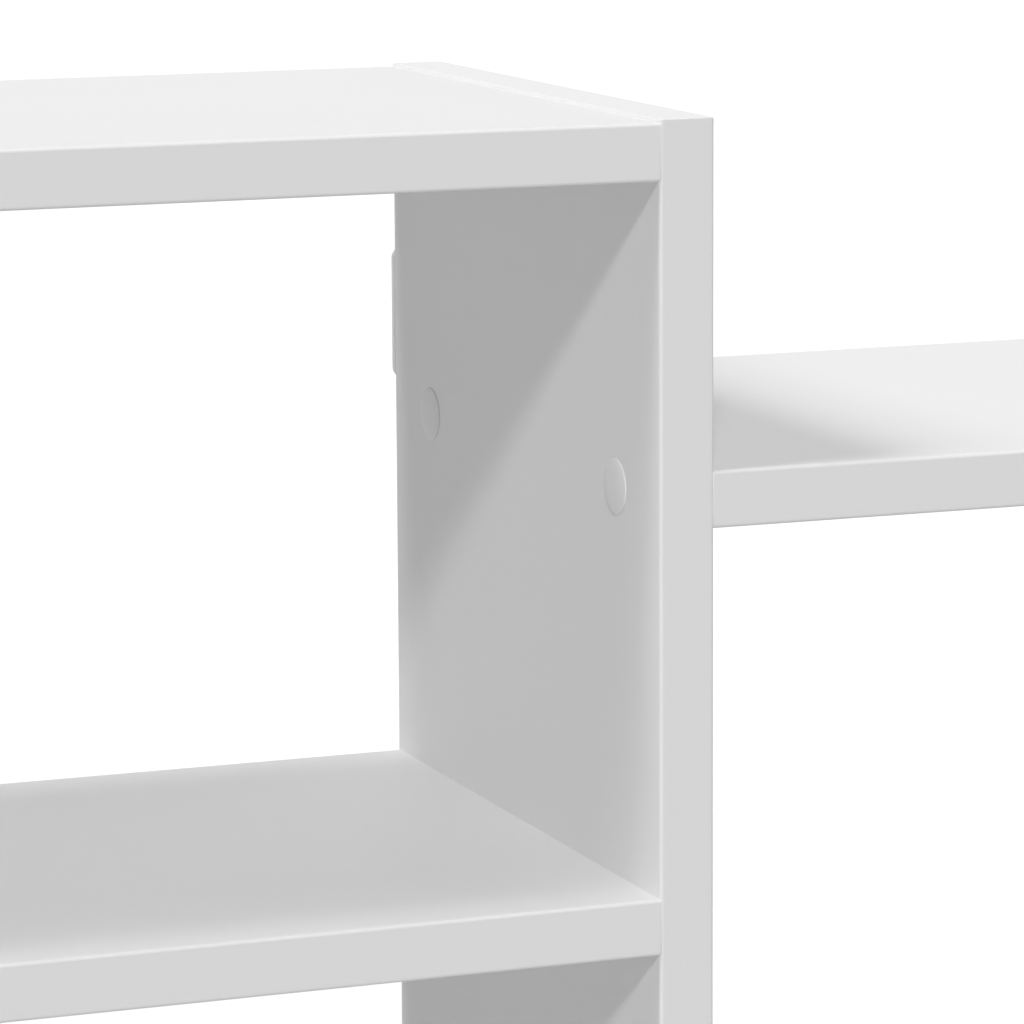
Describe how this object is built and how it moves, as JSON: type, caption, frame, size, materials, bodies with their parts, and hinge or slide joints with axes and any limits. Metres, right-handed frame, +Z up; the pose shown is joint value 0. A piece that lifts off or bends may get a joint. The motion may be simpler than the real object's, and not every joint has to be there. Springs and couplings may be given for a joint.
{
  "type": "wall shelf",
  "caption": "Wall shelf of white melamine boards: an open tower with a middle board, and a lower open compartment beside it, hung on keyhole plates.",
  "frame": {"origin": "under the middle of the shelf's box, level with the lower ends of the tower's uprights", "axes": "+X to the right as seen from the front, +Y from the front edges towards the wall, +Z up"},
  "size_m": [0.853, 0.2026, 0.4177],
  "materials": {
    "melamine": "white melamine-faced particle board with white edging, fine satin texture",
    "cap_plastic": "white moulded plastic, satin",
    "zinc": "zinc-plated steel",
    "painted_steel": "white-painted pressed steel"
  },
  "bodies": {
    "root": {"left_upright": "melamine", "middle_upright": "melamine", "right_upright": "melamine", "tower_top_board": "melamine", "tower_middle_board": "melamine", "tower_bottom_board": "melamine", "side_top_board": "melamine", "side_bottom_board": "melamine", "screw_tower_top_left_front": "zinc", "cap_tower_top_left_front": "cap_plastic", "screw_tower_top_left_rear": "zinc", "cap_tower_top_left_rear": "cap_plastic", "screw_tower_top_middle_front": "zinc", "cap_tower_top_middle_front": "cap_plastic", "screw_tower_top_middle_rear": "zinc", "cap_tower_top_middle_rear": "cap_plastic", "screw_tower_middle_left_front": "zinc", "cap_tower_middle_left_front": "cap_plastic", "screw_tower_middle_left_rear": "zinc", "cap_tower_middle_left_rear": "cap_plastic", "screw_tower_middle_middle_front": "zinc", "cap_tower_middle_middle_front": "cap_plastic", "screw_tower_middle_middle_rear": "zinc", "cap_tower_middle_middle_rear": "cap_plastic", "screw_tower_bottom_left_front": "zinc", "cap_tower_bottom_left_front": "cap_plastic", "screw_tower_bottom_left_rear": "zinc", "cap_tower_bottom_left_rear": "cap_plastic", "screw_tower_bottom_middle_front": "zinc", "cap_tower_bottom_middle_front": "cap_plastic", "screw_tower_bottom_middle_rear": "zinc", "cap_tower_bottom_middle_rear": "cap_plastic", "screw_side_top_middle_front": "zinc", "cap_side_top_middle_front": "cap_plastic", "screw_side_top_middle_rear": "zinc", "cap_side_top_middle_rear": "cap_plastic", "screw_side_top_right_front": "zinc", "cap_side_top_right_front": "cap_plastic", "screw_side_top_right_rear": "zinc", "cap_side_top_right_rear": "cap_plastic", "screw_side_bottom_middle_front": "zinc", "cap_side_bottom_middle_front": "cap_plastic", "screw_side_bottom_middle_rear": "zinc", "cap_side_bottom_middle_rear": "cap_plastic", "screw_side_bottom_right_front": "zinc", "cap_side_bottom_right_front": "cap_plastic", "screw_side_bottom_right_rear": "zinc", "cap_side_bottom_right_rear": "cap_plastic", "left_hanger": "painted_steel", "left_hanger_screw_upper": "zinc", "left_hanger_screw_lower": "zinc", "middle_hanger": "painted_steel", "middle_hanger_screw_upper": "zinc", "middle_hanger_screw_lower": "zinc", "right_hanger": "painted_steel", "right_hanger_screw_upper": "zinc", "right_hanger_screw_lower": "zinc"}
  },
  "joints": []
}
